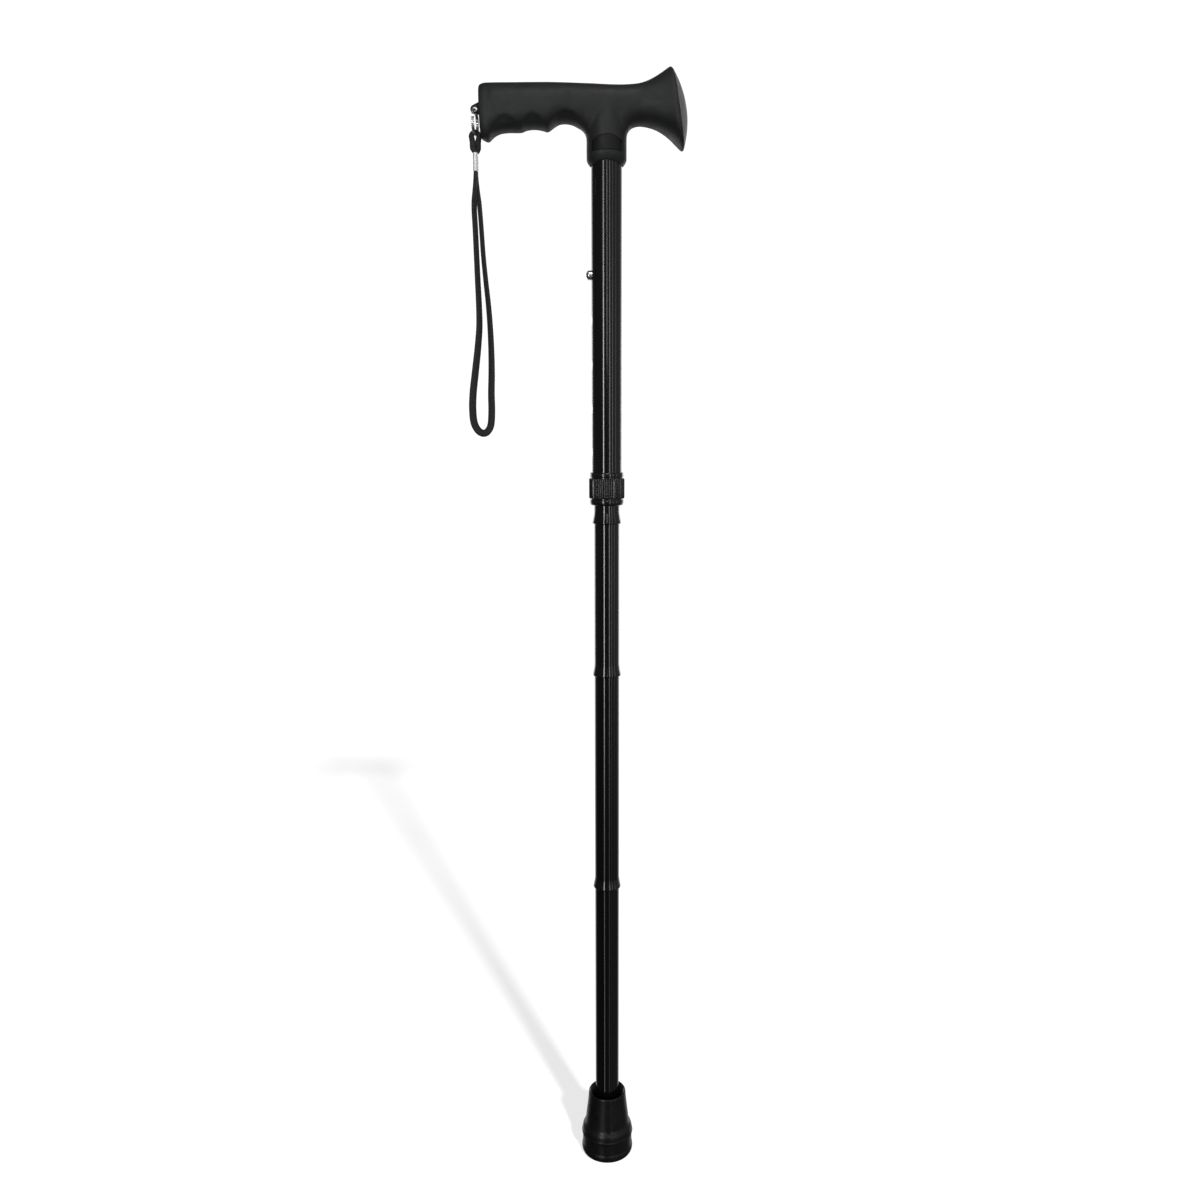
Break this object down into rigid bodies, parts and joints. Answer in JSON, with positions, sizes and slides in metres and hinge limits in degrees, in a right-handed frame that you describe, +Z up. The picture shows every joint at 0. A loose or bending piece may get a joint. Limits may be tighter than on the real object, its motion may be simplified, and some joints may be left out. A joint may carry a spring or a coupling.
{
  "type": "folding cane",
  "caption": "Folding walking cane with a moulded T handle, telescoping height lock with a snap button, shock-corded folding tube sections, rubber foot and wrist strap.",
  "frame": {"origin": "centre of the foot's base, on the floor", "axes": "+Z up the shaft, +X along the handle towards its flared end, -Y towards the viewer of the picture"},
  "size_m": [0.1598, 0.042, 0.8481],
  "materials": {
    "grip_rubber": "matt soft-touch moulded rubber, charcoal black",
    "core_plastic": "moulded nylon, hidden",
    "pad_rubber": "fine-grained matt rubber",
    "badge_plastic": "satin bare panel",
    "lug_plastic": "moulded plastic",
    "steel": "plated steel",
    "black_tube": "gloss black anodised, smooth",
    "lock_plastic": "satin black moulded plastic",
    "pale_plastic": "natural nylon",
    "chrome": "bright plated",
    "elastic_cord": "braided cover over rubber strands",
    "bare_aluminium": "turned aluminium",
    "foot_rubber": "moulded rubber, slightly dusty",
    "strap_braid": "black braided cord",
    "bright_crimp": "bright silver crimp"
  },
  "bodies": {
    "upper": {"handle_grip": "grip_rubber", "handle_core": "core_plastic", "end_pad": "pad_rubber", "neck_badge": "badge_plastic", "strap_lug": "lug_plastic", "handle_pin": "steel", "upper_tube": "black_tube", "lock_bush": "lock_plastic", "lock_collet": "pale_plastic"},
    "lock": {"lock_nut": "lock_plastic"},
    "inner": {"inner_tube": "black_tube", "guide_bush": "pale_plastic", "snap_spring": "steel", "upper_cord_anchor": "pale_plastic", "cord_in_upper": "elastic_cord"},
    "button": {"snap_button": "chrome"},
    "link_1": {"cord_at_joint_1": "elastic_cord"},
    "second_section": {"second_tube": "black_tube", "spigot_1": "bare_aluminium", "cord_in_second": "elastic_cord"},
    "link_2": {"cord_at_joint_2": "elastic_cord"},
    "third_section": {"third_tube": "black_tube", "spigot_2": "bare_aluminium", "cord_in_third": "elastic_cord"},
    "link_3": {"cord_at_joint_3": "elastic_cord"},
    "foot_section": {"foot_tube": "black_tube", "spigot_3": "bare_aluminium", "cord_in_foot_section": "elastic_cord", "lower_cord_anchor": "pale_plastic", "rubber_foot": "foot_rubber", "foot_washer": "steel"},
    "ring": {"split_ring": "chrome"},
    "strap": {"strap_keeper": "strap_braid", "strap_crimp": "bright_crimp", "wrist_strap": "strap_braid"}
  },
  "joints": [
    {"name": "nut_turn", "type": "hinge", "parent": "upper", "child": "lock", "pos_m": [0, 0, 0.552], "axis": [0, 0, 1], "range_deg": [0, 180]},
    {"name": "height_slide", "type": "slide", "parent": "inner", "child": "upper", "axis": [0, 0, 1], "range_m": [0, 0.128], "deforming": ["snap_button"]},
    {"name": "button_press", "type": "slide", "parent": "inner", "child": "button", "axis": [1, 0, 0], "range_m": [0, 0.0056], "stiffness_N_per_m": 400, "springref_m": -0.004, "deforming": ["snap_spring"]},
    {"name": "fold_1", "type": "hinge", "parent": "inner", "child": "link_1", "pos_m": [0, 0.014, 0.525], "axis": [1, 0, 0], "range_deg": [0, 175], "deforming": ["cord_at_joint_1"]},
    {"name": "pull_1", "type": "slide", "parent": "link_1", "child": "second_section", "axis": [0, 0, -1], "range_m": [0, 0.06], "stiffness_N_per_m": 250, "springref_m": -0.12},
    {"name": "fold_2", "type": "hinge", "parent": "second_section", "child": "link_2", "pos_m": [0, -0.014, 0.407], "axis": [-1, 0, 0], "range_deg": [0, 175], "deforming": ["cord_at_joint_2"]},
    {"name": "pull_2", "type": "slide", "parent": "link_2", "child": "third_section", "axis": [0, 0, -1], "range_m": [0, 0.06], "stiffness_N_per_m": 250, "springref_m": -0.12},
    {"name": "fold_3", "type": "hinge", "parent": "third_section", "child": "link_3", "pos_m": [0, 0.014, 0.233], "axis": [1, 0, 0], "range_deg": [0, 175], "deforming": ["cord_at_joint_3"]},
    {"name": "pull_3", "type": "slide", "parent": "link_3", "child": "foot_section", "axis": [0, 0, -1], "range_m": [0, 0.06], "stiffness_N_per_m": 250, "springref_m": -0.12},
    {"name": "ring_swing", "type": "hinge", "parent": "upper", "child": "ring", "pos_m": [-0.09392, 0, 0.82041], "axis": [0, 1, 0], "range_deg": [0, 110]},
    {"name": "strap_swing", "type": "hinge", "parent": "ring", "child": "strap", "pos_m": [-0.09392, 0, 0.81171], "axis": [1, 0, 0], "range_deg": [-60, 60]}
  ],
  "couplings": [
    {"joint": "pull_1", "follows": "fold_1", "m_per_rad": 0.01964},
    {"joint": "pull_2", "follows": "fold_2", "m_per_rad": 0.01964},
    {"joint": "pull_3", "follows": "fold_3", "m_per_rad": 0.01964}
  ]
}
